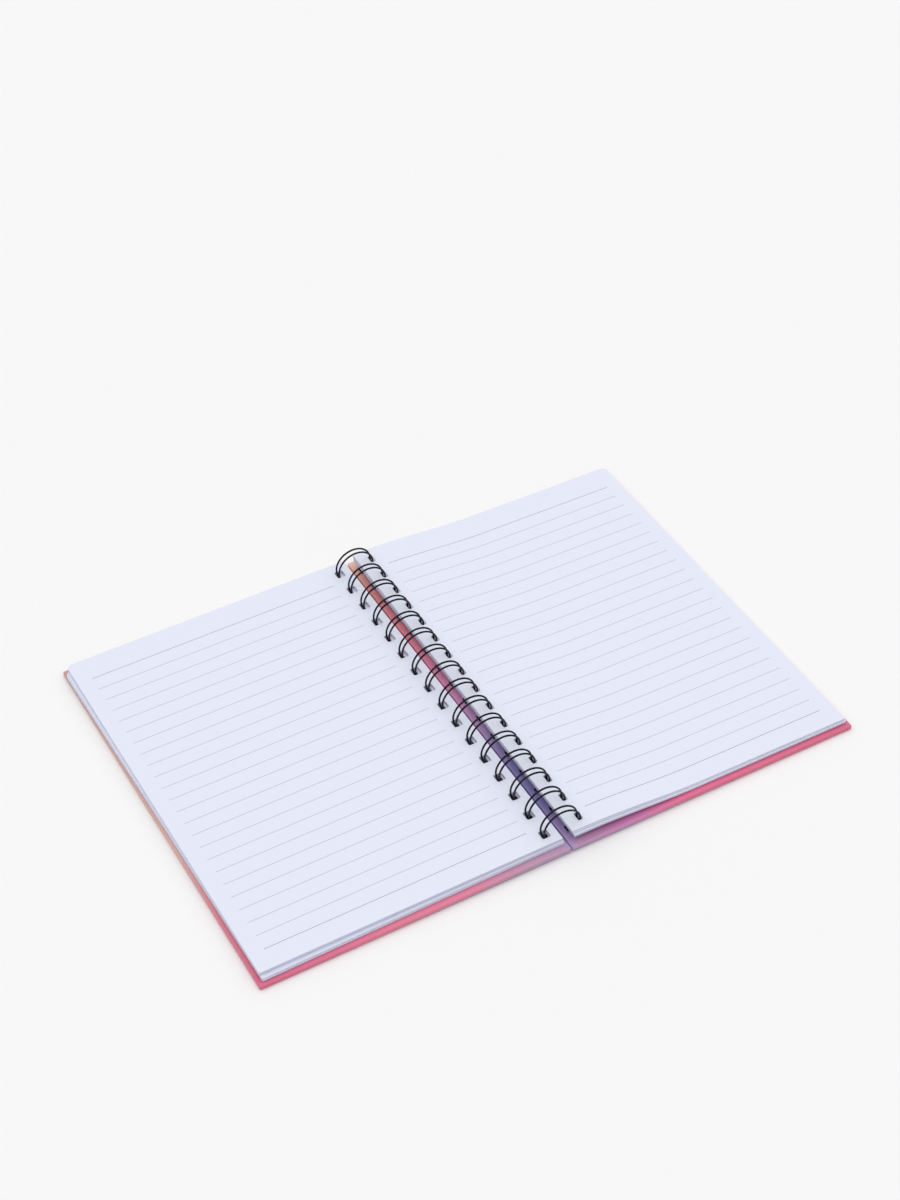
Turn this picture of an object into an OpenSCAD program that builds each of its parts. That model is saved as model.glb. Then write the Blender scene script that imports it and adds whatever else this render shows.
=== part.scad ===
// Open notebook with two hard covers and a twin-loop wire, lying open about half way.
// Millimetres. X runs to the right across the open book, Y runs to the far edge of the pages
// and Z is up. The origin is on the table, under the middle of the open book.

/* [Covers] */
// Distance from the middle of the open book to the outer edge of a cover
cover_reach = 148.6; // [148:0.1:154]
// Height of a cover, along the comb
cover_h = 209.4; // [208.4:0.1:214]
// Thickness of a cover, its lining sheet included
cover_t = 2.2; // [1.8:0.1:2.2]
// Thickness of the lining sheet on the inside of a cover
lining_t = 0.1; // [0.05:0.05:0.2]
// Width of the border left bare around the lining, where the wrap is turned in
turn_in = 7; // [5:0.5:12]
// Radius of the wrapped edges
edge_r = 0.6; // [0.3:0.1:0.7]
// Radius of a cover's corners, seen from above
cover_corner_r = 1.2; // [0.8:0.1:3]
// Gap between the two covers, under the comb
cover_gap = 0.3; // [0.2:0.1:0.6]
// Height of a cover's underside at its inner edge, where the wire passes below it
cover_lift = 1.1; // [1.1:0.02:1.2]

/* [Wire comb] */
// Number of loops
loops = 16; // [4:1:16]
// How far the comb and the leaves lie from the middle of the covers, towards the far end
comb_y = 0.6; // [0:0.1:0.8]
// Distance from one loop to the next
pitch = 12.7; // [12.7:0.1:12.8]
// Distance between the two wires of a loop
twin = 2.94; // [2.8:0.02:3]
// Radius of the bends that lead from a loop to the next one
corner_r = 1; // [0.9:0.1:1.1]
// Length of the cut ends of the wire, past the first and the last loop
stub = 0.8; // [0.4:0.1:2]

/* [Leaves] */
// Width of a leaf
leaf_w = 144.4; // [140:0.1:144.5]
// Height of a leaf
leaf_h = 204; // [200:0.1:204.5]
// Radius of the leaves' corners at the near end of the book
near_corner_r = 0.8; // [0.5:0.1:4]
// Radius of the leaves' corners at the far end of the book
far_corner_r = 2.6; // [0.5:0.1:6]
// Thickness of the leaves on the left
left_t = 3.4; // [1.5:0.1:3.4]
// Thickness of the leaves on the right, at the comb
right_t = 2.9; // [2.4:0.1:3.5]
// Thickness of the leaves on the right, where they lie flat
right_flat_t = 2.4; // [1.5:0.1:2.6]
// Distance from the middle of the comb to the edge of the left leaves
left_margin = 2.3; // [2.2:0.1:2.4]
// Distance from the middle of the comb to the edge of the right leaves
right_margin = 2.3; // [2.2:0.1:2.5]
// Height of the lowest right leaf at the comb
right_lift = 6; // [5.8:0.1:6.1]
// Distance from the comb at which the right leaves come down to the cover
right_drop = 68; // [50:1:90]
// Turn of the lowest left leaves at their holes, in degrees
left_turn = 0.6; // [0:0.1:0.6]
// Turn of the top right leaves at their holes, in degrees, and of the lowest the other way
right_turn = 0.1; // [0.05:0.01:0.12]

/* [Holes] */
// Width of a hole along the comb
hole_y = 4.5; // [4.4:0.1:4.7]
// Distance from the middle of the comb to the holes of the top left leaves
left_hole_near = 5.9; // [5.8:0.05:6.1]
// Length of the holes of the top left leaves, across the comb
left_hole_x = 4.2; // [4.1:0.05:4.3]
// Distance from the middle of the comb to the holes of the top right leaves
right_hole_near = 7.9; // [7.8:0.02:7.96]
// Length of the holes of the top right leaves, across the comb
right_hole_x = 2.5; // [2.44:0.02:2.6]
// Distance from the middle of the comb to a cover's holes
cover_hole_near = 3; // [2.9:0.05:3.4]
// Length of a cover's holes across the comb
cover_hole_x = 5.3; // [5.3:0.05:5.4]
// Radius of a hole's corners
hole_r = 0.6; // [0.3:0.1:0.8]

/* [Hidden] */
$fn = 48;

comb_l = (loops - 1) * pitch;

// What a cutter or an outline goes past the thing that it shapes
over = 2;
stack_top = 12;

// A loop is a circle with a flat foot on the table. Wire radius, loop radius and height of the
// loop's middle go together, so that every bend meets the next at a point with round numbers.
wire_r = 0.45;
loop_r = 9.1;
loop_z = 8.65;
foot_r = 4.6;

// Directions from the middle of a loop, as cosine and sine below the level
foot_dir = [0.6, 0.8];
seam_dir = [0.8, 0.6];
tip_dir = [0.96, 0.28];
seam_angle = atan2(seam_dir[1], seam_dir[0]);
tip_angle = atan2(tip_dir[1], tip_dir[0]);
foot_x = (loop_r - foot_r) * foot_dir[0];

// The line along which the wire runs from one loop to the next
seam_x = loop_r * seam_dir[0] + corner_r * seam_dir[1];
seam_z = loop_z - loop_r * seam_dir[1] + corner_r * seam_dir[0];

// Slope and outer edge of a cover, which leans on its outer edge and on the wire
edge_x = cover_reach - edge_r;
tilt = asin(cover_lift / edge_x);

// Clearance under the left leaves, and under the right leaves, which turn by themselves
leaf_gap = 0.05;
turn_gap = 0.12;

// Bundles of leaves that have slipped together, from the lowest up: from which to which share of
// the thickness, share of the turn, shift in X, shift in Y, and how much nearer to the comb, how
// much longer and how much wider the holes are than those of the top leaves. A lower bundle has
// turned further and meets the wire lower down, where the loop is narrower.
left_bundles = [[0, 0.22, 1, 0.7, 0.2, 0.6, 0.3, 0.1], [0.22, 0.45, 0.85, 0.6, 0.3, 0.1, 0.1, 0.05],
    [0.45, 1, 0, 0, 1, 0, 0, 0]];
right_bundles = [[0, 0.45, -1, -0.35, -0.2, 0.8, 0.8, 0.1], [0.45, 0.72, 0, -0.05, 0.1, 0.4, 0, 0.05],
    [0.72, 1, 1, 0.2, 0.5, 0, 0, 0]];

// Places along the right leaves at which the height of their bend is worked out
flat_from = 12;
bend_steps = 20;
bend_step = (right_drop - flat_from) / bend_steps;
bend_x = concat([-over], [for (i = [0 : bend_steps]) flat_from + i * bend_step], [cover_reach + over]);

// Height of a cover's lining at a distance from the comb
function lining_z(x) = edge_r + (cover_t - edge_r) / cos(tilt) + (edge_x - x) * tan(tilt);

// Share of the lift that is left at x: one at the comb, nothing from right_drop on
function ease(u) = u * u * (3 - 2 * u);
function lift_share(x) = ease(min(1, max(0, (right_drop - x) / (right_drop - flat_from))));

// Height of the right leaves at x, at a share of their thickness
function right_bed(x) =
    lining_z(x) + turn_gap + (right_lift - lining_z(flat_from) - turn_gap) * lift_share(x);
function right_z(x, share) =
    right_bed(x) + share * (right_flat_t + (right_t - right_flat_t) * lift_share(x));

// Rectangle with four round corners, from its corner at the origin
module round_rect(size, r) {
    translate([r, 0]) square([size[0] - 2 * r, size[1]]);
    translate([0, r]) square([size[0], size[1] - 2 * r]);
    for (x = [r, size[0] - r], y = [r, size[1] - r]) translate([x, y]) circle(r = r);
}

// A leaf seen from above, from the middle of its edge at the comb, with a small round corner near
// the reader and a larger one at the far end
module leaf_outline() {
    r = far_corner_r;
    translate([0, -leaf_h / 2]) {
        square([leaf_w - r, leaf_h]);
        translate([leaf_w / 2, 0]) square([leaf_w / 2 - near_corner_r, leaf_h / 2]);
        translate([leaf_w / 2, near_corner_r]) square([leaf_w / 2, leaf_h - near_corner_r - r]);
        translate([leaf_w - near_corner_r, near_corner_r]) circle(r = near_corner_r);
        translate([leaf_w - r, leaf_h - r]) circle(r = r);
    }
}

// A child for each loop of the comb
module at_loops() {
    for (i = [0 : loops - 1]) translate([0, i * pitch - comb_l / 2, 0]) children();
}

// Children that lie with the comb, which isn't quite in the middle of the covers
module with_comb() {
    translate([0, comb_y, 0]) children();
}

// Cutters for one row of holes, from x on
module hole_row(x, length, width) {
    at_loops() translate([x, -width / 2, -over])
        linear_extrude(height = stack_top + over) round_rect([length, width], hole_r);
}

// A cover seen flat, with its inner edge at x = cover_gap / 2 and its underside at z = 0.
// Three outlines, from above, from the front and from the side, give it its round wrapped edges.
module flat_cover() {
    w = cover_reach - cover_gap / 2;
    slab_t = cover_t - lining_t;
    difference() {
        union() {
            intersection() {
                translate([cover_gap / 2, -cover_h / 2, -over])
                    linear_extrude(height = cover_t + 2 * over) round_rect([w, cover_h], cover_corner_r);
                translate([cover_gap / 2, cover_h, 0]) rotate([90, 0, 0])
                    linear_extrude(height = 2 * cover_h) round_rect([w, slab_t], edge_r);
                translate([-cover_reach, -cover_h / 2, 0]) rotate([90, 0, 90])
                    linear_extrude(height = 3 * cover_reach) round_rect([cover_h, slab_t], edge_r);
            }
            translate([turn_in, turn_in - cover_h / 2, slab_t - lining_t])
                cube([cover_reach - 2 * turn_in, cover_h - 2 * turn_in, 2 * lining_t]);
        }
        with_comb() hole_row(cover_hole_near, cover_hole_x, hole_y);
    }
}

// Leans what lies on the flat cover back on its outer edge, so that the wire fits under it
module lean() {
    translate([edge_x, 0, edge_r]) rotate([0, tilt, 0]) translate([-edge_x, 0, -edge_r]) children();
}

module back_cover() {
    color("#e0668d") lean() flat_cover();
}

module front_cover() {
    color("#e0668d") mirror([1, 0, 0]) lean() flat_cover();
}

// A bundle seen from above: the leaves' outline, shifted, with its holes, and all of it turned about
// the middle of its row of holes
module flat_bundle(bundle, margin, near, length, angle, height) {
    from = near - bundle[5];
    long = length + bundle[6];
    hole_x = from + long / 2;
    translate([hole_x, 0, 0]) rotate([0, 0, angle]) translate([-hole_x, 0, 0]) difference() {
        translate([margin + bundle[3], bundle[4], 0]) linear_extrude(height = height) leaf_outline();
        hole_row(from, long, hole_y + bundle[7]);
    }
}

// The leaves between two shares of the left stack, which lie flat on the front cover
module left_bundle(bundle) {
    translate([0, 0, cover_t + leaf_gap + bundle[0] * left_t])
        flat_bundle(bundle, left_margin, left_hole_near, left_hole_x, -bundle[2] * left_turn,
            (bundle[1] - bundle[0]) * left_t);
}

module left_pages() {
    color("#e6e9f7") with_comb() mirror([1, 0, 0]) lean()
        for (bundle = left_bundles) left_bundle(bundle);
}

// The leaves between two shares of the right stack, which stand on the seam of the comb and come
// down to the back cover in an S bend
module right_bundle(bundle) {
    low = [for (x = bend_x) [x, right_z(x, bundle[0])]];
    high = [for (i = [len(bend_x) - 1 : -1 : 0]) [bend_x[i], right_z(bend_x[i], bundle[1])]];
    intersection() {
        translate([0, cover_h, 0]) rotate([90, 0, 0])
            linear_extrude(height = 2 * cover_h) polygon(concat(low, high));
        flat_bundle(bundle, right_margin, right_hole_near, right_hole_x, -bundle[2] * right_turn,
            stack_top);
    }
}

module right_pages() {
    color("#e6e9f7") with_comb() for (bundle = right_bundles) right_bundle(bundle);
}

// A ring of round wire in the XZ plane, about the origin
module wire_ring(r) {
    rotate([90, 0, 0]) rotate_extrude() translate([r, 0]) circle(r = wire_r);
}

// The sector between two directions, each given by its cosine and its sine below the level, as a
// slice through the XZ plane
module sector(from, to) {
    reach = 3 * loop_r;
    translate([0, 1, 0]) rotate([90, 0, 0]) linear_extrude(height = 2)
        polygon([[0, 0], reach * [from[0], -from[1]], reach * [to[0] + from[0], -to[1] - from[1]],
            reach * [to[0], -to[1]]]);
}

// The bend on the right that leads from the flat foot up to the circle
module foot_bend() {
    translate([foot_x, 0, wire_r + foot_r]) intersection() {
        wire_ring(foot_r);
        sector([0, 1], foot_dir);
    }
}

// One of the two wires of a loop, from the tip over the top and down the left side, along the
// foot and up to the seam
module loop_wire() {
    translate([0, 0, loop_z]) difference() {
        wire_ring(loop_r);
        sector([-foot_dir[0], foot_dir[1]], foot_dir);
        sector(seam_dir, tip_dir);
    }
    translate([-foot_x, 0, wire_r]) rotate([0, 90, 0]) cylinder(r = wire_r, h = 2 * foot_x);
    foot_bend();
    mirror([1, 0, 0]) foot_bend();
}

// The closed end of a loop, where its two wires meet in a round tip
module tip() {
    translate([loop_r * tip_dir[0], 0, loop_z - loop_r * tip_dir[1]])
        rotate([0, 90 + tip_angle, 0]) rotate([0, 0, -90])
            rotate_extrude(angle = 180) translate([twin / 2, 0]) circle(r = wire_r);
}

// The bend that leads from a loop's wire to the seam, on the side of +Y
module corner() {
    translate([loop_r * seam_dir[0], twin / 2 + corner_r, loop_z - loop_r * seam_dir[1]])
        rotate([0, seam_angle - 90, 0]) rotate([0, 0, -90])
            rotate_extrude(angle = 90) translate([corner_r, 0]) circle(r = wire_r);
}

// Straight wire along the seam, between two places counted along Y
module seam_wire(from, to) {
    translate([seam_x, from, seam_z]) rotate([-90, 0, 0]) cylinder(r = wire_r, h = to - from);
}

module twin_loop_wire() {
    bend_end = twin / 2 + corner_r;
    color("#17171a") with_comb() union() {
        at_loops() {
            for (side = [-1, 1]) translate([0, side * twin / 2, 0]) loop_wire();
            tip();
            corner();
            mirror([0, 1, 0]) corner();
        }
        for (i = [0 : loops - 2]) {
            y = i * pitch - comb_l / 2;
            seam_wire(y + bend_end, y + pitch - bend_end);
        }
        for (side = [0, 1]) mirror([0, side, 0])
            seam_wire(comb_l / 2 + bend_end, comb_l / 2 + bend_end + stub);
    }
}

front_cover();
back_cover();
left_pages();
right_pages();
twin_loop_wire();
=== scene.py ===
"""An open wire-bound notebook: ruled leaves, wrapped boards and a twin-loop wire comb.

Metres. X runs to the right across the open book, Y to the far end of the pages, Z up. The origin
is on the table, across the book under the middle of the comb and along it under the boards' middle.
"""
import math

import bpy
import numpy as np
from bpy.props import FloatProperty, FloatVectorProperty, IntProperty, PointerProperty
from mathutils import Matrix, Vector


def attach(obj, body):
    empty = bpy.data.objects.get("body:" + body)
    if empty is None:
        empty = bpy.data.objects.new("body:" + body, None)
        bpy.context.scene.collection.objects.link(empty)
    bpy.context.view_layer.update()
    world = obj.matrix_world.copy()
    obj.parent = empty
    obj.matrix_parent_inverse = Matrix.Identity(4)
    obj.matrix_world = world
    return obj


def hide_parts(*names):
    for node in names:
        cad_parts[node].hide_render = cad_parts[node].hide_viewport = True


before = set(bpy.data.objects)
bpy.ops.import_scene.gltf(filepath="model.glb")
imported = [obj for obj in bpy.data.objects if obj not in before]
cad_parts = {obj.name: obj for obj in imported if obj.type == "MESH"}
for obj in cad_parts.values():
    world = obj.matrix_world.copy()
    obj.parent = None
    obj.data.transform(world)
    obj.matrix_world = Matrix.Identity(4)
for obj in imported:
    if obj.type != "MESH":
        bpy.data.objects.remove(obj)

bl_info = {
    "name": "Wire-Bound Notebook",
    "version": (1, 0, 0),
    "blender": (4, 5, 0),
    "location": "View3D > Sidebar > Notebook",
    "description": "Makes the ruled leaves, the boards and the wire comb of an open notebook",
    "category": "Add Mesh",
}

MM = 0.001

# Angles in degrees past which an edge stays sharp, on flat pieces and on the wire
FLAT_SHARP = 40
WIRE_SHARP = 60

# Decimals of a metre to which places are rounded, to find those that are the same
DECIMALS = 6

# How close to a line a point has to be to count as on it
ON_LINE = 0.1 * MM


def length(name, description, millimetres):
    """A property for a size, of which the default is given in millimetres."""
    return FloatProperty(name=name, description=description, default=millimetres * MM,
                         unit="LENGTH", subtype="DISTANCE", precision=5)


def turn(name, description, degrees):
    """A property for an angle, of which the default is given in degrees."""
    return FloatProperty(name=name, description=description, default=math.radians(degrees),
                         unit="ROTATION", subtype="ANGLE")


def number(name, description, default):
    """A property for a plain number."""
    return FloatProperty(name=name, description=description, default=default, precision=4)


def linear(red, green, blue):
    """A colour of the screen, from 0 to 255, as linear light."""
    share = np.array([red, green, blue]) / 255
    low = share / 12.92
    high = ((share + 0.055) / 1.055) ** 2.4
    return tuple(np.where(share <= 0.04045, low, high).tolist())


def tint(name, description, red, green, blue):
    """A property for a colour, of which the default is given as it looks on a screen."""
    return FloatVectorProperty(name=name, description=description, default=linear(red, green, blue),
                               subtype="COLOR", min=0, max=1)


class StageSettings(bpy.types.PropertyGroup):
    """Camera, light and floor."""

    focal_length: FloatProperty(name="Focal Length", description="For a sensor whose long side is 36 mm",
                                default=68.49, unit="CAMERA")
    azimuth: turn("Azimuth", "Where the camera stands round the book, from the near side", -29.11)
    elevation: turn("Elevation", "Height of the camera above the level", 43.01)
    roll: turn("Roll", "Turn of the camera about its line of sight", -0.41)
    distance: length("Distance", "From the camera to the point that it looks at", 1096.93)
    target_x: length("Target X", "Point that the camera looks at, across the book", 32.6)
    target_y: length("Target Y", "Point that the camera looks at, along the comb", 60)
    key_strength: number("Key Strength", "Strength of the main lamp", 1.76)
    key_azimuth: turn("Key Azimuth", "Where the main lamp stands round the book", 150)
    key_elevation: turn("Key Elevation", "Height of the main lamp", 77)
    key_spread: turn("Key Spread", "How wide the main lamp looks, which softens shadows", 115)
    rim_strength: number("Rim Strength", "Strength of the small lamp that draws lines on the wire", 0.08)
    rim_azimuth: turn("Rim Azimuth", "Where the small lamp stands round the book", -60)
    rim_elevation: turn("Rim Elevation", "Height of the small lamp", 60)
    rim_spread: turn("Rim Spread", "How wide the small lamp looks", 12)
    sky_strength: number("Sky Strength", "Light that comes evenly from all sides", 0.42)
    sky_seen: number("Sky Seen", "Brightness of the sky where the camera sees it", 0.93)
    floor_tint: tint("Floor", "Colour of the floor", 249, 249, 249)
    floor_reach: length("Floor Reach", "Half the side of the floor", 6000)


class WireSettings(bpy.types.PropertyGroup):
    """The twin-loop wire comb."""

    wire_r: length("Wire Radius", "Half the thickness of the wire", 0.45)
    loop_r: length("Loop Radius", "Radius of a loop, to the middle of the wire", 9.1)
    loop_z: length("Loop Height", "Height of the middle of a loop", 8.65)
    foot_r: length("Foot Radius", "Radius of the bends beside the flat foot", 4.6)
    twin: length("Twin Distance", "Distance between the two wires of a loop", 2.94)
    corner_r: length("Corner Radius", "Radius of the bends that lead to the next loop", 1)
    pitch: length("Pitch", "Distance from one loop to the next", 12.7)
    stub: length("Stub", "Length of the cut ends", 0.8)
    comb_y: length("Comb Y", "How far the comb and the leaves lie from the middle of the boards", 0.6)
    loops: IntProperty(name="Loops", description="Number of loops", default=16, min=2)
    sides: IntProperty(name="Sides", description="Sides of the wire's section, an even number",
                       default=14, min=6, step=2)
    black: tint("Black", "Colour of the coated wire", 9, 8, 34)


class LeafSettings(bpy.types.PropertyGroup):
    """The ruled leaves, left and right."""

    width: length("Width", "Width of a leaf", 144.4)
    height: length("Height", "Height of a leaf", 204)
    near_corner_r: length("Near Corner", "Radius of the corners near the reader", 0.8)
    far_corner_r: length("Far Corner", "Radius of the corners at the far end", 2.6)
    sheet_t: length("Sheet Thickness", "Thickness of one leaf", 0.088)
    hole_y: length("Hole Width", "Width of a hole along the comb", 4.5)
    hole_r: length("Hole Corner", "Radius of a hole's corners", 0.6)
    left_hole_near: length("Left Holes", "From the middle of the comb to the top left leaf's holes", 5.9)
    left_hole_x: length("Left Hole Length", "Length of the top left leaf's holes", 4.2)
    right_hole_near: length("Right Holes", "From the middle of the comb to the top right leaf's holes", 7.9)
    right_hole_x: length("Right Hole Length", "Length of the top right leaf's holes", 2.5)
    left_count: IntProperty(name="Left Leaves", description="Leaves on the left", default=34, min=3)
    right_count: IntProperty(name="Right Leaves", description="Leaves on the right", default=24, min=3)
    left_t: length("Left Stack", "Thickness of the left stack", 3.4)
    right_t: length("Right Stack", "Thickness of the right stack at the comb", 2.9)
    right_flat_t: length("Right Stack, Flat", "Thickness of the right stack where it lies flat", 2.4)
    left_margin: length("Left Margin", "From the middle of the comb to the left leaves", 2.3)
    right_margin: length("Right Margin", "From the middle of the comb to the right leaves", 2.3)
    left_turn: turn("Left Turn", "Turn of the lowest left leaves at their holes", 0.6)
    right_turn: turn("Right Turn", "Turn of the top right leaves at their holes", 0.1)
    right_lift: length("Right Lift", "Height of the lowest right leaf at the comb", 6)
    right_drop: length("Right Drop", "Where the right leaves come down to the board", 68)
    flat_from: length("Bend Start", "Where the right leaves start to bend down", 12)
    jitter: length("Jitter", "How far single leaves have slipped", 0.08)
    line_gap: length("Line Gap", "From one ruled line to the next", 7.84)
    line_count: IntProperty(name="Lines", description="Ruled lines on a page", default=24, min=1)
    line_t: length("Line Width", "Width of a ruled line", 0.23)
    line_start: length("Line Start", "From the middle of the comb to the ruled lines", 14.5)
    line_l: length("Line Length", "Length of the ruled lines", 125.1)
    left_print_x: length("Left Print X", "Shift of the left pages' print, away from the comb", -0.1)
    right_print_x: length("Right Print X", "Shift of the right pages' print, away from the comb", 0.2)
    left_print_y: length("Left Print Y", "Shift of the left pages' print along the comb", -0.74)
    right_print_y: length("Right Print Y", "Shift of the right pages' print along the comb", -1.6)
    paper: tint("Paper", "Colour of the paper", 231, 234, 249)
    # A little darker than the paper: painted shade on the leaves' cut edges
    edge: tint("Paper Edge", "Colour of the cut edges of the leaves", 227, 231, 247)
    line: tint("Line", "Colour of the ruled lines", 168, 168, 194)
    strong_line: tint("First And Last Line", "Colour of the first and the last line", 124, 122, 148)


class BoardSettings(bpy.types.PropertyGroup):
    """The two boards and their printed wrap."""

    reach: length("Reach", "From the middle of the book to a board's outer edge", 148.6)
    height: length("Height", "Height of a board", 209.4)
    thickness: length("Thickness", "Thickness of a board", 2.2)
    edge_r: length("Edge Radius", "Radius of the wrapped edges", 0.6)
    lift: length("Lift", "Height of a board's underside at the comb", 1.1)
    rest_gap: length("Rest Gap", "Air under the left leaves", 0.05)
    turn_gap: length("Turn Gap", "Air under the right leaves", 0.12)
    turn_in: length("Turn-In", "How far the wrap comes round the edges to the inner side", 7)
    mitre_x: length("Mitre X", "Where the mitre of the turned-in wrap meets the near edge", 1.5)
    mitre_slope: number("Mitre Slope", "Rise of the mitre for its run across the board", 2.5)
    hole_near: length("Holes", "From the middle of the comb to the holes of the boards", 3)
    hole_x: length("Hole Length", "Length of the boards' holes", 5.3)
    # Bare grey board of the hole walls, painted much darker than grey board as the shade deep in the holes
    core: tint("Core", "Colour of the bare board in the holes", 74, 70, 74)


SETTINGS = {
    "stage_settings": StageSettings,
    "wire_settings": WireSettings,
    "leaf_settings": LeafSettings,
    "board_settings": BoardSettings,
}


class Value:
    """A number that changes over a surface. The operators that are used on it add Math nodes."""

    def __init__(self, finish, socket):
        self.finish = finish
        self.socket = socket

    def math(self, operation, *others):
        """The Math node of that name, with this value first."""
        values = dict(enumerate([self, *others]))
        return self.finish.node("ShaderNodeMath", {"operation": operation}, values)

    def __add__(self, other):
        return self.math("ADD", other)

    def __sub__(self, other):
        return self.math("SUBTRACT", other)

    def __mul__(self, other):
        return self.math("MULTIPLY", other)

    def __rsub__(self, other):
        return self * -1 + other

    def __gt__(self, other):
        return self.math("GREATER_THAN", other)

    def __lt__(self, other):
        return self.math("LESS_THAN", other)

    __radd__ = __add__
    __rmul__ = __mul__

    def absolute(self):
        """The value without its sign."""
        return self.math("ABSOLUTE", 0.0)

    def between(self, low, high):
        """A smooth step from 0 at low to 1 at high."""
        settings = {"interpolation_type": "SMOOTHSTEP"}
        return self.finish.node("ShaderNodeMapRange", settings, {0: self, 1: low, 2: high})

    def ramp(self, stops):
        """The colour at this value on a ramp. A stop is a place and a colour of the screen."""
        return self.finish.node("ShaderNodeValToRGB", {"stops": stops}, {0: self})


class Finish:
    """A material and the few ways in which its nodes are made."""

    MIX_FACTOR = 0
    MIX_A = 6
    MIX_B = 7
    MIX_OUT = 2

    def __init__(self, name, **constants):
        self.material = bpy.data.materials.new(name)
        self.material.use_nodes = True
        self.tree = self.material.node_tree
        self.shader = self.tree.nodes["Principled BSDF"]
        for socket, value in constants.items():
            self.feed(socket.replace("_", " "), value)

    def node(self, kind, settings, values, out=0):
        """A node of a kind, with its settings made first and then its values or links."""
        made = self.tree.nodes.new(kind)
        for name, setting in settings.items():
            if name == "stops":
                self.set_stops(made.color_ramp.elements, setting)
            else:
                setattr(made, name, setting)
        for key, value in values.items():
            if isinstance(value, Value):
                self.tree.links.new(value.socket, made.inputs[key])
            else:
                made.inputs[key].default_value = value
        return Value(self, made.outputs[out])

    @staticmethod
    def set_stops(elements, stops):
        """Puts stops on a ramp that has two elements to start with."""
        while len(elements) < len(stops):
            elements.new(1.0)
        for element, (place, *colour) in zip(elements, stops):
            element.position = place
            element.color = (*linear(*colour), 1.0)

    def feed(self, socket, value):
        """Gives one of the shader's sockets a value, a colour or a link."""
        target = self.shader.inputs[socket]
        if isinstance(value, Value):
            self.tree.links.new(value.socket, target)
        elif np.ndim(value):
            target.default_value = (*value, 1.0)
        else:
            target.default_value = value

    def place(self, axis):
        """The object's own X, Y or Z at a point of the surface."""
        coordinates = self.node("ShaderNodeTexCoord", {}, {}, "Object")
        return self.node("ShaderNodeSeparateXYZ", {}, {0: coordinates}, axis)

    def uv(self, layer, axis):
        """X or Y of a UV map at a point of the surface."""
        coordinates = self.node("ShaderNodeUVMap", {"uv_map": layer}, {})
        return self.node("ShaderNodeSeparateXYZ", {}, {0: coordinates}, axis)

    def attribute(self, name):
        """A number that the mesh carries for each of its faces."""
        return self.node("ShaderNodeAttribute", {"attribute_name": name}, {}, "Fac")

    def mix(self, factor, first, second):
        """From the first colour to the second by a factor from 0 to 1."""
        colours = {self.MIX_FACTOR: factor}
        for key, colour in ((self.MIX_A, first), (self.MIX_B, second)):
            colours[key] = colour if isinstance(colour, Value) else (*colour, 1.0)
        return self.node("ShaderNodeMix", {"data_type": "RGBA"}, colours, self.MIX_OUT)

    def noise(self, scale, detail):
        """Smooth noise on Object coordinates."""
        coordinates = self.node("ShaderNodeTexCoord", {}, {}, "Object")
        values = {"Vector": coordinates, "Scale": scale, "Detail": detail}
        return self.node("ShaderNodeTexNoise", {}, values)

    def bump(self, height, strength, distance):
        """Feeds a Bump node to the shader's Normal."""
        values = {"Height": height, "Strength": strength, "Distance": distance}
        self.feed("Normal", self.node("ShaderNodeBump", {}, values))


def settings_of(context, name):
    """One of the groups of settings of the scene."""
    return getattr(context.scene, name)


def make_mesh(name, points, quads, sharp, uv=None, rim=None):
    """A mesh object from arrays of points and of quads.

    Edges that turn by more than sharp, in degrees, aren't smooth. uv gives two numbers for each
    point, and rim one for each quad: 1 on the cut edges of paper.
    """
    mesh = bpy.data.meshes.new(name)
    mesh.vertices.add(len(points))
    mesh.vertices.foreach_set("co", np.ascontiguousarray(points, np.float32).ravel())
    mesh.loops.add(quads.size)
    mesh.loops.foreach_set("vertex_index", np.ascontiguousarray(quads, np.int32).ravel())
    mesh.polygons.add(len(quads))
    mesh.polygons.foreach_set("loop_start", np.arange(0, quads.size, 4, dtype=np.int32))
    mesh.polygons.foreach_set("loop_total", np.full(len(quads), 4, np.int32))
    mesh.update(calc_edges=True)
    mesh.validate()
    mesh.shade_smooth()
    mesh.set_sharp_from_angle(angle=math.radians(sharp))
    if uv is not None:
        layer = mesh.uv_layers.new(name="leaf")
        layer.data.foreach_set("uv", np.ascontiguousarray(uv[quads.ravel()], np.float32).ravel())
    if rim is not None:
        values = mesh.attributes.new("rim", "FLOAT", "FACE").data
        values.foreach_set("value", np.ascontiguousarray(rim, np.float32))
    made = bpy.data.objects.new(name, mesh)
    bpy.context.scene.collection.objects.link(made)
    return made


def hand_over(piece, finish, body, slot, *nodes):
    """Gives a piece its material and the body that it rides on, and hides the nodes it stands for; slot is
    not used.
    """
    piece.data.materials.append(finish.material)
    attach(piece, body)
    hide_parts(*nodes)


# Ways from the middle of a loop to where its foot starts, to the seam and to the tip, each as
# cosine and sine below the level
FOOT_WAY = (0.6, 0.8)
SEAM_WAY = (0.8, 0.6)
TIP_WAY = (0.96, 0.28)

# About how many degrees lie between two points of a loop, and how many points a corner and a tip
# have
LOOP_STEP = 4.5
CORNER_POINTS = 8
TIP_POINTS = 15


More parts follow.
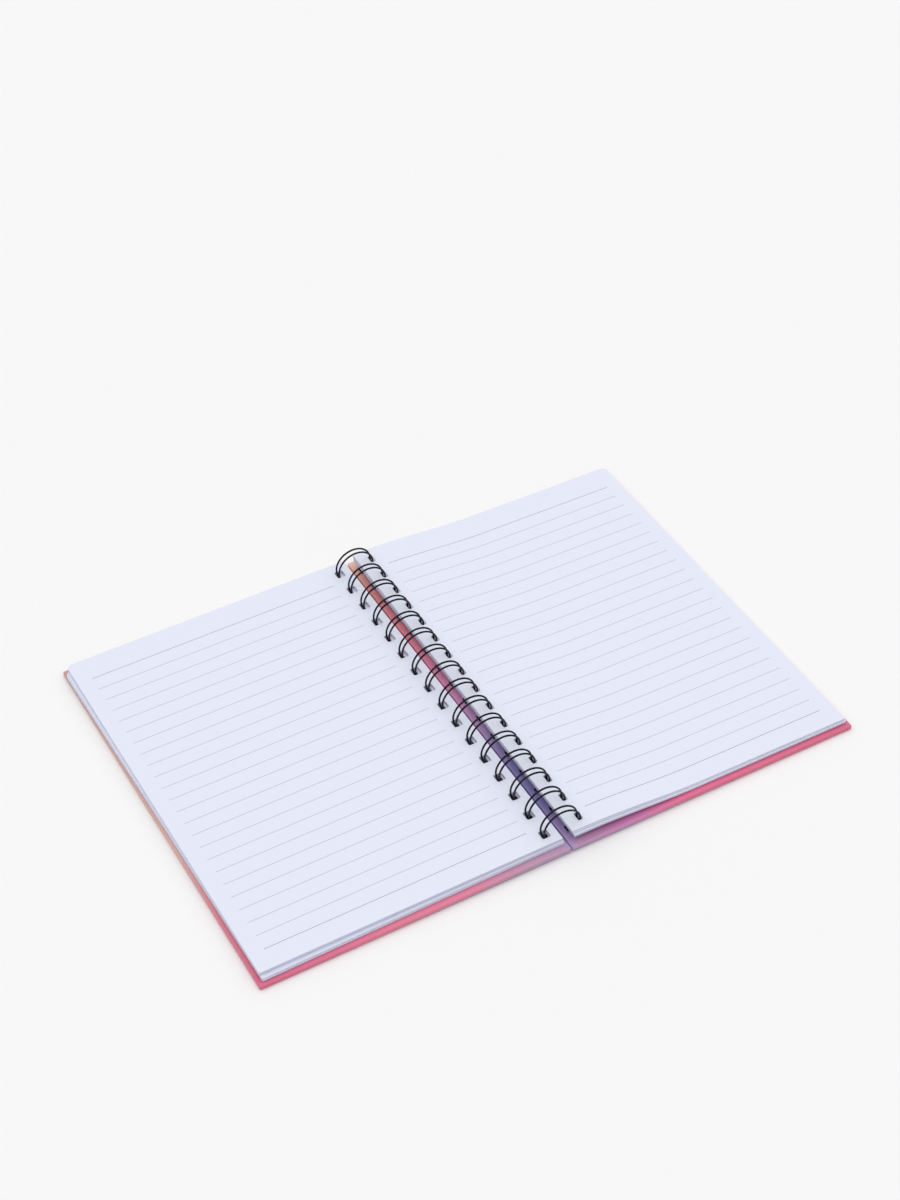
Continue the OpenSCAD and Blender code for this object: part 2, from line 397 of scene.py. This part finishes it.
def wire_path(wire):
    """The middle line of the wire and, for each of its points, the direction away from the loop.

    All the loops are one run of points. In the XZ plane a loop is a circle with its lower part
    replaced by a flat foot between two smaller arcs. The run goes from the seam down the right
    side, along the foot to the left, over the top and down to the tip, which is half a circle
    across to the twin wire, and back the same way. Quarter circles lead on to the seam.
    """
    seam, foot, tip = (math.atan2(sine, cosine) for cosine, sine in (SEAM_WAY, FOOT_WAY, TIP_WAY))
    step = math.radians(LOOP_STEP)

    def arc(centre_x, centre_z, radius, start, end):
        """Angles count up from +X towards +Z."""
        angle = np.linspace(start, end, max(2, int(abs(end - start) / step) + 1))
        out = np.stack([np.cos(angle), np.zeros_like(angle), np.sin(angle)], 1)
        return np.array([centre_x, 0, centre_z]) + radius * out, out

    foot_x = (wire.loop_r - wire.foot_r) * math.cos(foot)
    bend_z = wire.wire_r + wire.foot_r
    half_turn = math.pi
    stretches = [
        arc(0, wire.loop_z, wire.loop_r, -seam, -foot),
        arc(foot_x, bend_z, wire.foot_r, -foot, -half_turn / 2),
        arc(-foot_x, bend_z, wire.foot_r, -half_turn / 2, foot - half_turn),
        arc(0, wire.loop_z, wire.loop_r, foot - half_turn, -tip - 2 * half_turn),
    ]
    across = np.concatenate([places[1:-1] for places, _ in stretches])
    across_out = np.concatenate([ways[1:-1] for _, ways in stretches])
    y_axis = np.array([0, 1, 0])

    def radial(angle):
        """The way from the middle of a loop, at an angle below the level."""
        return np.array([math.cos(angle), 0, -math.sin(angle)])

    def along(angle):
        """The way that the circle runs at an angle below the level, towards the foot."""
        return np.array([-math.sin(angle), 0, -math.cos(angle)])

    centre = np.array([0, 0, wire.loop_z])
    twin = wire.twin / 2
    bend = np.linspace(0, half_turn / 2, CORNER_POINTS)[:, None]
    corner_middle = centre + wire.loop_r * radial(seam) - (twin + wire.corner_r) * y_axis
    corner = corner_middle + wire.corner_r * (np.sin(bend) * y_axis - np.cos(bend) * along(seam))
    tip_bend = np.linspace(-half_turn / 2, half_turn / 2, TIP_POINTS)[:, None]
    tip_middle = centre + wire.loop_r * radial(tip)
    tip_run = tip_middle + twin * (np.sin(tip_bend) * y_axis + np.cos(tip_bend) * along(tip))
    near = across - twin * y_axis
    far = across[::-1] + twin * y_axis
    far_corner = corner[::-1] * np.array([1, -1, 1])
    loop = np.concatenate([corner, near, tip_run, far, far_corner])
    seam_out = np.tile(radial(seam), (len(corner), 1))
    tip_out = np.tile(radial(tip), (len(tip_run), 1))
    loop_out = np.concatenate([seam_out, across_out, tip_out, across_out[::-1], seam_out])
    middles = (np.arange(wire.loops) - (wire.loops - 1) / 2) * wire.pitch
    path = (loop[None] + middles[:, None, None] * y_axis).reshape(-1, 3)
    out = np.tile(loop_out, (wire.loops, 1))
    stub = wire.stub * y_axis
    path = np.concatenate([path[:1] - stub, path, path[-1:] + stub])
    return path + wire.comb_y * y_axis, np.concatenate([out[:1], out, out[-1:]])


# Radii of the rings at a cut end of the wire, and the depth of its rounding, as shares of the
# wire's radius
END_SHARES = (0.1, 0.55, 0.85, 1)
END_DEPTH = 0.35


def make_wire(wire):
    """A tube along the wire's path, with its cut ends rounded off.

    Each point of the path carries a ring of points, at the wire's radius, in the plane of the
    outward direction and of that direction's cross product with the way the path runs. At both
    cut ends smaller rings round off the edge, and a fan of quads closes the last of them.
    """
    path, out = wire_path(wire)
    run = np.gradient(path, axis=0)
    run /= np.linalg.norm(run, axis=1, keepdims=True)
    shares = np.array(END_SHARES)
    into = wire.wire_r * END_DEPTH * (1 - np.sqrt(1 - shares))[:, None]
    ends = len(shares)
    path = np.concatenate([path[0] + run[0] * into, path[1:-1], path[-1] - run[-1] * into[::-1]])
    out = np.concatenate([np.repeat(out[:1], ends, 0), out[1:-1], np.repeat(out[-1:], ends, 0)])
    run = np.concatenate([np.repeat(run[:1], ends, 0), run[1:-1], np.repeat(run[-1:], ends, 0)])
    radius = np.concatenate([shares, np.ones(len(path) - 2 * ends), shares[::-1]]) * wire.wire_r
    side = np.cross(run, out)
    side /= np.linalg.norm(side, axis=1, keepdims=True)
    out = np.cross(side, run)
    angle = np.linspace(0, 2 * np.pi, wire.sides, endpoint=False)[None, :, None]
    ring = np.cos(angle) * out[:, None] + np.sin(angle) * side[:, None]
    points = path[:, None] + radius[:, None, None] * ring
    rings = len(path)
    index = np.arange(rings * wire.sides).reshape(rings, wire.sides)
    following = np.roll(index, -1, axis=1)
    quads = np.stack([index[:-1], following[:-1], following[1:], index[1:]], -1).reshape(-1, 4)
    fan = np.arange(1, wire.sides - 2, 2)[:, None] + np.arange(3)
    fan = np.concatenate([np.zeros_like(fan[:, :1]), fan], 1)
    return points.reshape(-1, 3), np.concatenate([quads, fan[:, ::-1], fan + index[-1, 0]])


def leaf_template(leaf, wire, stations, edge, near, far, width):
    """One leaf seen flat, as points and quads, with X counted from the middle of the comb.

    Round each hole a ring of twelve quads joins the hole's outline to the sides of its cell, which
    reaches from the leaf's edge to the first station. Beyond the cells a grid runs out to the far
    edge. The rows of the grid end on the outline, where the last columns follow the round corners.
    """
    r = leaf.hole_r
    middle = (near + far) / 2
    half_x = (far - near) / 2
    half_y = width / 2
    cell_y = wire.pitch / 2
    signs = np.repeat(np.array([[1, 1], [-1, 1], [-1, -1], [1, -1]]), 3, axis=0)
    angles = np.radians(np.arange(4)[:, None] * 90 + np.array([0, 45, 90])).ravel()
    inner = signs * [half_x - r, half_y - r] + r * np.stack([np.cos(angles), np.sin(angles)], 1)
    on_corner = np.tile([False, True, False], 4)
    on_x_side = np.array([1, 1, 0, 0, 1, 1, 1, 1, 0, 0, 1, 1], bool)
    side_x = np.where(signs[:, 0] > 0, stations[0], edge) - middle
    outer_x = np.where(on_x_side, side_x, signs[:, 0] * (half_x - r))
    outer_y = signs[:, 1] * np.where(~on_x_side | on_corner, cell_y, half_y - r)
    ring = np.concatenate([inner, np.stack([outer_x, outer_y], 1)])
    middles = (np.arange(wire.loops) - (wire.loops - 1) / 2) * wire.pitch
    steps = np.stack([np.full_like(middles, middle), middles], 1)
    ring_points = (ring[None] + steps[:, None]).reshape(-1, 2)
    i = np.arange(len(inner))
    j = np.roll(i, -1)
    ring_quads = np.stack([i, len(inner) + i, len(inner) + j, j], 1)
    ring_quads = (ring_quads[None] + len(ring) * np.arange(wire.loops)[:, None, None]).reshape(-1, 4)
    rows = (middles[:, None] + np.array([-cell_y, r - half_y, half_y - r])).ravel()
    rows = np.append(rows, middles[-1] + cell_y)
    grid = np.stack(np.meshgrid(stations, rows, indexing="ij"), -1).reshape(-1, 2)
    index = np.arange(len(grid)).reshape(len(stations), len(rows)) + len(ring_points)
    grid_quads = np.stack([index[:-1, :-1], index[1:, :-1], index[1:, 1:], index[:-1, 1:]], -1)
    points = np.concatenate([ring_points, grid])
    quads = np.concatenate([ring_quads, grid_quads.reshape(-1, 4)])
    _, first, merged = np.unique(np.round(points, DECIMALS), axis=0, return_index=True,
                                 return_inverse=True)
    points = points[first]
    quads = merged.reshape(-1)[quads]
    at_end = np.abs(points[:, 1]) > wire.loops * cell_y - ON_LINE
    is_far = points[:, 1] > 0
    corner_r = np.where(is_far, leaf.far_corner_r, leaf.near_corner_r)
    into = np.clip(points[:, 0] - (edge + leaf.width - corner_r), 0, corner_r)
    end_y = leaf.height / 2 - corner_r + np.sqrt(np.maximum(corner_r ** 2 - into ** 2, 0))
    points[:, 1] = np.where(at_end, np.where(is_far, end_y, -end_y), points[:, 1])
    return points, quads, at_end


def outline_edges(quads):
    """The edges that only one quad has, in that quad's own direction."""
    edges = np.concatenate([quads[:, [k, (k + 1) % 4]] for k in range(4)])
    _, inverse, count = np.unique(np.sort(edges, axis=1), axis=0, return_inverse=True,
                                  return_counts=True)
    return edges[count[inverse.reshape(-1)] == 1]


def lining_height(board, x):
    """Height of a board's lining at a distance from the comb, from the slope of the board."""
    edge_x = board.reach - board.edge_r
    tilt = math.asin(board.lift / edge_x)
    at_edge = board.edge_r + (board.thickness - board.edge_r) / math.cos(tilt)
    return at_edge + (edge_x - x) * math.tan(tilt)


def left_height(board, leaf, x, share):
    """Height of the left leaves, which lie flat on the board."""
    return lining_height(board, x) + board.rest_gap + share * leaf.left_t


def right_height(board, leaf, x, share):
    """Height of the right leaves, which come down from the comb in a smooth step."""
    u = np.clip((leaf.right_drop - x) / (leaf.right_drop - leaf.flat_from), 0, 1)
    lift = u * u * (3 - 2 * u)
    flat = lining_height(board, x) + board.turn_gap
    raised = leaf.right_lift - lining_height(board, leaf.flat_from) - board.turn_gap
    thickness = leaf.right_flat_t + (leaf.right_t - leaf.right_flat_t) * lift
    return flat + raised * lift + share * thickness


# Bundles of leaves that have slipped together, from the lowest up: from which share of the stack,
# share of the turn, shift in X and in Y, and how much nearer to the comb, how much longer and how
# much wider the holes are than those of the top leaves, in millimetres
BUNDLES = {
    "left": ((0, 1, 0.7, 0.2, -0.4, -0.7, 0.1), (0.22, 0.85, 0.6, 0.3, -1, -1.1, 0.05),
             (0.45, 0, 0, 1, 0, 0, 0)),
    "right": ((0, -1, 0.3, -0.6, 0.8, 0.1, 0.1), (0.45, 0, 0.25, 0.1, 0.4, 0, 0.05),
              (0.72, 1, 0.2, 0.5, 0, 0, 0)),
}
HEIGHTS = {"left": left_height, "right": right_height}
SIDES = {"left": -1, "right": 1}
SEEDS = {"left": 4, "right": 5}

# How many columns of points a leaf has on a round corner and on the bend of the right leaves, and
# where it has more beyond the bend, as shares of its width
CORNER_COLUMNS = 9
BEND_COLUMNS = 16
FLAT_COLUMNS = (0.6, 0.8)

# Share of a slip at the far edge by which a single leaf has turned
SLIP_TURN = 0.2


def lay_bundle(board, leaf, wire, side, bundle, share, slip, step):
    """The leaves of one bundle, each a thin closed plate with its own holes.

    The flat leaf is moved by its bundle's shift and its own small slip, turned about the middle of
    its row of holes, and laid at the height that the side's function gives for its place and its
    share of the stack. The lower face is the same surface, one sheet thickness further down.
    """
    turned, shift_x, shift_y, nearer, longer, wider = bundle[1:]

    def of_side(name):
        return getattr(leaf, f"{side}_{name}")

    edge = of_side("margin") + shift_x * MM
    near = of_side("hole_near") - nearer * MM
    far = near + of_side("hole_x") + longer * MM
    quarter = np.linspace(0, math.pi / 2, CORNER_COLUMNS)
    corners = [edge + leaf.width - r * (1 - np.sin(quarter))
               for r in (leaf.near_corner_r, leaf.far_corner_r)]
    bend = np.linspace(leaf.flat_from, leaf.right_drop, BEND_COLUMNS)
    middle = [bend[:1]] if side == "left" else [bend, np.multiply(FLAT_COLUMNS, leaf.width)]
    stations = np.unique(np.round(np.concatenate(middle + corners), DECIMALS))
    points, quads, at_end = leaf_template(leaf, wire, stations, edge, near, far,
                                          leaf.hole_y + wider * MM)
    angle = -turned * of_side("turn") + SLIP_TURN * slip[:, 2] / leaf.width
    hole_x = (near + far) / 2
    free_x = (points[:, 0] < edge + ON_LINE) | (points[:, 0] > stations[0] + ON_LINE)
    x = points[:, 0] + free_x * slip[:, :1] - hole_x
    y = points[:, 1] + at_end * (shift_y * MM + slip[:, 1:2])
    cosine = np.cos(angle)[:, None]
    sine = np.sin(angle)[:, None]
    place_x = hole_x + x * cosine - y * sine
    place_y = x * sine + y * cosine + wire.comb_y
    top = HEIGHTS[side](board, leaf, place_x, share[:, None] + step)
    both = np.stack([top, top - leaf.sheet_t], 1)
    lay_x = np.broadcast_to(SIDES[side] * place_x[:, None], both.shape)
    lay_y = np.broadcast_to(place_y[:, None], both.shape)

    n = len(points)
    edges = outline_edges(quads)
    walls = np.stack([edges[:, 0] + n, edges[:, 1] + n, edges[:, 1], edges[:, 0]], 1)
    one = np.concatenate([quads, quads[:, ::-1] + n, walls])
    if side == "left":
        one = one[:, ::-1]
    count = len(share)
    all_quads = (one[None] + 2 * n * np.arange(count)[:, None, None]).reshape(-1, 4)
    u = np.broadcast_to(points[:, 0] - of_side("print_x"), (count, 2, n))
    v = np.broadcast_to(points[:, 1] - of_side("print_y"), (count, 2, n))
    rim = np.tile(np.arange(len(one)) >= 2 * len(quads), count)
    placed = np.stack([lay_x, lay_y, both], -1).reshape(-1, 3)
    return placed, all_quads, np.stack([u, v], -1).reshape(-1, 2), rim


def make_stack(board, leaf, wire, side):
    """All the leaves of one side, bundle by bundle, as points, quads, UV map and rim."""
    count = getattr(leaf, f"{side}_count")
    bundles = BUNDLES[side]
    share = np.arange(count) / count
    bundle_of = np.searchsorted([bundle[0] for bundle in bundles], share, side="right") - 1
    random = np.random.default_rng(SEEDS[side])
    slip = random.uniform(-1, 1, (count, 3)) * leaf.jitter
    parts = []
    total = 0
    for i, bundle in enumerate(bundles):
        mine = bundle_of == i
        points, quads, uv, rim = lay_bundle(board, leaf, wire, side, bundle, share[mine],
                                            slip[mine], 1 / count)
        parts.append((points, quads + total, uv, rim))
        total += len(points)
    return [np.concatenate(arrays) for arrays in zip(*parts)]


# How much the fibres show in the paper, and the share of its light that they give back
FIBRE_MIX = 0.5
FIBRE_LIGHT = 0.93

# Roughness of the wire and of the wrap: the least, and what their noise adds to it
WIRE_ROUGHNESS = (0.26, 0.16)
WRAP_ROUGHNESS = (0.3, 0.1)


def paper_finish(leaf):
    """Smooth ruled paper: grey lines on the leaf's own coordinates, with fine fibres, and cut edges painted
    a little darker as their shade.
    """
    finish = Finish("ruled_paper", Roughness=0.62, Specular_IOR_Level=0.35)
    across = finish.uv("leaf", "X")
    along = finish.uv("leaf", "Y")
    half = (leaf.line_count - 1) / 2
    counted = along * (1 / leaf.line_gap) + half
    off_line = (counted - counted.math("ROUND")).absolute()
    on_line = off_line < leaf.line_t / 2 / leaf.line_gap
    in_rows = (along.absolute() * (1 / leaf.line_gap)) < half + 0.5
    in_columns = (across > leaf.line_start) * (across < leaf.line_start + leaf.line_l)
    end_row = (along.absolute() * (1 / leaf.line_gap)) > half - 0.5
    ink = finish.mix(end_row, leaf.line, leaf.strong_line)
    fibres = (finish.noise(scale=900.0, detail=3.0) - 0.5) * FIBRE_MIX
    darker = np.multiply(leaf.paper, FIBRE_LIGHT).tolist()
    paper = finish.mix(fibres, leaf.paper, darker)
    page = finish.mix(on_line * in_rows * in_columns, paper, ink)
    # The cut edges (rim) take the edge colour, painted a little darker than the paper as their shade
    finish.feed("Base Color", finish.mix(finish.attribute("rim"), page, leaf.edge))
    finish.bump(finish.noise(scale=2600.0, detail=2.0), strength=0.12, distance=0.02 * MM)
    return finish


def wire_finish(wire):
    """Glossy black coated steel, with faint changes in its gloss."""
    finish = Finish("black_coated_wire", Base_Color=tuple(wire.black), Specular_IOR_Level=0.2,
                    Coat_Weight=0.1, Coat_Roughness=0.12)
    least, added = WIRE_ROUGHNESS
    finish.feed("Roughness", finish.noise(scale=700.0, detail=3.0) * added + least)
    return finish


# Colours of the wrap: down the book at the comb, down the book at the outer edges, and across the
# book on the wrap that is turned in at the near end. Each is a place from 0 to 1 and a colour of
# the screen.
SPINE_STOPS = ((0, 240, 192, 172), (0.12, 233, 158, 158), (0.26, 240, 148, 164),
               (0.4, 239, 151, 185), (0.52, 222, 161, 205), (0.64, 189, 157, 204),
               (0.76, 143, 137, 192), (0.88, 145, 135, 191), (1, 184, 155, 198))
SIDE_STOPS = ((0, 200, 156, 148), (0.3, 216, 170, 158), (0.6, 224, 174, 164),
              (0.8, 223, 126, 144), (1, 224, 112, 140))
NEAR_END_STOPS = ((0, 220, 105, 140), (0.2, 232, 123, 152), (0.32, 233, 130, 160),
                  (0.42, 200, 149, 178), (0.5, 189, 154, 187), (0.6, 212, 133, 184),
                  (0.7, 231, 108, 149), (1, 219, 105, 134))

# How far the fields of colour wander, which share of that the near end has, and where the colours
# at the comb give way to those of the outer edges, as shares of the way out
SWIRL = 0.1
NEAR_END_SWIRL = 0.3
SIDE_FADE = (0.08, 0.6)

# How softly the mitre and the end of the turned-in wrap run out, and how far from the board's
# faces the bare walls of its holes, painted dark as the shade in the holes, start
MITRE_BLUR = 0.2 * MM
END_BLUR = 0.3 * MM
WALL_MARGIN = 0.25 * MM


def wrap_finish(board):
    """Printed wrap of the boards: soft fields of colour that run into each other.

    Down the book the colour of the spine differs from that of the outer edges, and the wrap that is
    turned in at the near end has its own colours across the book, with a mitre at the spine. The
    walls of the holes show the grey board, painted much darker than it is as the shade deep in the holes.
    """
    finish = Finish("printed_wrap", Specular_IOR_Level=0.45, Coat_Weight=0.2, Coat_Roughness=0.25)
    swirl = (finish.noise(scale=9.0, detail=1.0) - 0.5) * SWIRL
    along = finish.place("Y")
    across = finish.place("X")
    from_comb = across.absolute()
    height = finish.place("Z")
    down = along * (-1 / board.height) + 0.5 + swirl
    spine = down.ramp(SPINE_STOPS)
    side = down.ramp(SIDE_STOPS)
    outwards = from_comb * (1 / board.reach) + swirl
    field = finish.mix(outwards.between(*SIDE_FADE), spine, side)
    place = across * (0.5 / board.reach) + 0.5 + swirl * NEAR_END_SWIRL
    near_end = place.ramp(NEAR_END_STOPS)
    from_end = along + board.height / 2
    mitre = (from_comb - board.mitre_x) * board.mitre_slope - from_end
    underside = from_comb * (-board.lift / board.reach) + board.lift
    above = (height - underside).between(0, 2 * board.edge_r)
    in_border = (board.turn_in - from_end).between(0, END_BLUR)
    turned_in = mitre.between(-MITRE_BLUR, MITRE_BLUR) * in_border
    wrap = finish.mix(turned_in * above, field, near_end)
    top = board.lift + board.thickness
    in_board = (height > board.lift + WALL_MARGIN) * (height < top - WALL_MARGIN)
    holes_end = board.hole_near + board.hole_x
    in_holes = (from_comb > board.hole_near - WALL_MARGIN) * (from_comb < holes_end + WALL_MARGIN)
    in_middle = along.absolute() < board.height / 2 - 2 * board.edge_r
    # The hole walls take the core colour: bare grey board, painted dark as the shade in the holes
    finish.feed("Base Color", finish.mix(in_board * in_holes * in_middle, wrap, board.core))
    least, added = WRAP_ROUGHNESS
    finish.feed("Roughness", finish.noise(scale=60.0, detail=3.0) * added + least)
    finish.bump(finish.noise(scale=1500.0, detail=2.0), strength=0.06, distance=0.03 * MM)
    return finish


class NOTEBOOK_OT_leaves(bpy.types.Operator):
    """Lay the ruled leaves on both boards"""

    bl_idname = "notebook.leaves"
    bl_label = "Ruled Leaves"

    def execute(self, context):
        board = settings_of(context, "board_settings")
        leaf = settings_of(context, "leaf_settings")
        wire = settings_of(context, "wire_settings")
        finish = paper_finish(leaf)
        for side, body in (("left", "front"), ("right", "right_leaves")):
            points, quads, uv, rim = make_stack(board, leaf, wire, side)
            piece = make_mesh(f"{side}_leaves", points, quads, FLAT_SHARP, uv, rim)
            hand_over(piece, finish, body, "leaf_paper", f"{side}_pages")
        return {"FINISHED"}


class NOTEBOOK_OT_wire(bpy.types.Operator):
    """Bend the twin-loop wire comb from one length of wire"""

    bl_idname = "notebook.wire"
    bl_label = "Wire Comb"

    def execute(self, context):
        wire = settings_of(context, "wire_settings")
        points, quads = make_wire(wire)
        piece = make_mesh("wire_comb", points, quads, WIRE_SHARP)
        hand_over(piece, wire_finish(wire), "back", "black_wire", "twin_loop_wire")
        return {"FINISHED"}


class NOTEBOOK_OT_boards(bpy.types.Operator):
    """Give both boards their printed wrap"""

    bl_idname = "notebook.boards"
    bl_label = "Boards"

    def execute(self, context):
        finish = wrap_finish(settings_of(context, "board_settings"))
        for name in ("front_cover", "back_cover"):
            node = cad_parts[name]
            node.data.materials.clear()
            node.data.materials.append(finish.material)
        return {"FINISHED"}


class NOTEBOOK_OT_stage(bpy.types.Operator):
    """Set up the floor, the light and the camera"""

    bl_idname = "notebook.stage"
    bl_label = "Stage"

    def execute(self, context):
        stage = settings_of(context, "stage_settings")
        make_floor(stage)
        make_sky(context, stage)
        make_lamp(context, "key", stage.key_strength, stage.key_azimuth, stage.key_elevation,
                  stage.key_spread)
        make_lamp(context, "rim", stage.rim_strength, stage.rim_azimuth, stage.rim_elevation,
                  stage.rim_spread)
        make_camera(context, stage)
        context.scene.view_settings.view_transform = "Standard"
        return {"FINISHED"}


def direction(azimuth, elevation):
    """The way to something that stands at an azimuth, from the near side, and an elevation."""
    level = math.cos(elevation)
    return Vector((math.sin(azimuth) * level, -math.cos(azimuth) * level, math.sin(elevation)))


def make_floor(stage):
    """A large pale floor, level with the table."""
    reach = stage.floor_reach
    corners = reach * np.array([[-1, -1, 0], [1, -1, 0], [1, 1, 0], [-1, 1, 0]])
    floor = make_mesh("floor", corners, np.array([[0, 1, 2, 3]]), FLAT_SHARP)
    finish = Finish("pale_floor", Base_Color=tuple(stage.floor_tint), Roughness=0.9,
                    Specular_IOR_Level=0.0)
    floor.data.materials.append(finish.material)


def make_sky(context, stage):
    """Even light from all sides, which the camera sees as a pale backdrop."""
    world = bpy.data.worlds.new("soft_sky")
    world.use_nodes = True
    tree = world.node_tree
    background = tree.nodes["Background"]
    path = tree.nodes.new("ShaderNodeLightPath")
    mix = tree.nodes.new("ShaderNodeMix")
    factor, _, unseen, seen = mix.inputs[:4]
    tree.links.new(path.outputs["Is Camera Ray"], factor)
    unseen.default_value = stage.sky_strength
    seen.default_value = stage.sky_seen
    tree.links.new(mix.outputs[0], background.inputs["Strength"])
    background.inputs["Color"].default_value = (1, 1, 1, 1)
    context.scene.world = world


def make_lamp(context, name, strength, azimuth, elevation, spread):
    """A distant lamp that looks as wide as its spread."""
    light = bpy.data.lights.new(name, "SUN")
    light.energy = strength
    light.angle = spread
    lamp = bpy.data.objects.new(name, light)
    lamp.rotation_mode = "QUATERNION"
    lamp.rotation_quaternion = direction(azimuth, elevation).to_track_quat("Z", "Y")
    context.scene.collection.objects.link(lamp)


def make_camera(context, stage):
    """The camera, turned from its azimuth and elevation, with a small roll."""
    lens = bpy.data.cameras.new("camera")
    lens.lens = stage.focal_length
    camera = bpy.data.objects.new("camera", lens)
    back = direction(stage.azimuth, stage.elevation)
    right = Vector((0, 0, 1)).cross(back).normalized()
    up = back.cross(right)
    turned_right = math.cos(stage.roll) * right + math.sin(stage.roll) * up
    turned_up = math.cos(stage.roll) * up - math.sin(stage.roll) * right
    target = Vector((stage.target_x, stage.target_y, 0))
    camera.matrix_world = Matrix.Translation(target + back * stage.distance) @ Matrix(
        (turned_right, turned_up, back)).transposed().to_4x4()
    context.scene.collection.objects.link(camera)
    context.scene.camera = camera


class NOTEBOOK_PT_panel(bpy.types.Panel):
    """Lists the settings and what can be made from them"""

    bl_idname = "NOTEBOOK_PT_panel"
    bl_label = "Wire-Bound Notebook"
    bl_space_type = "VIEW_3D"
    bl_region_type = "UI"
    bl_category = "Notebook"

    def draw(self, context):
        for name, group in SETTINGS.items():
            box = self.layout.box()
            box.label(text=group.__doc__)
            for item in group.__annotations__:
                box.prop(settings_of(context, name), item)
        for operator in OPERATORS:
            self.layout.operator(operator.bl_idname)


OPERATORS = (NOTEBOOK_OT_boards, NOTEBOOK_OT_leaves, NOTEBOOK_OT_wire, NOTEBOOK_OT_stage)
CLASSES = (*SETTINGS.values(), *OPERATORS, NOTEBOOK_PT_panel)


def register():
    """Registers the classes and puts the settings on the scene."""
    for item in CLASSES:
        bpy.utils.register_class(item)
    for name, group in SETTINGS.items():
        setattr(bpy.types.Scene, name, PointerProperty(type=group))


def unregister():
    """Takes away what register has made."""
    for name in SETTINGS:
        delattr(bpy.types.Scene, name)
    for item in reversed(CLASSES):
        bpy.utils.unregister_class(item)


def main():
    """Makes every piece in order."""
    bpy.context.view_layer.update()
    register()
    bpy.ops.notebook.boards()
    bpy.ops.notebook.leaves()
    bpy.ops.notebook.wire()
    bpy.ops.notebook.stage()


if __name__ == "__main__":
    main()
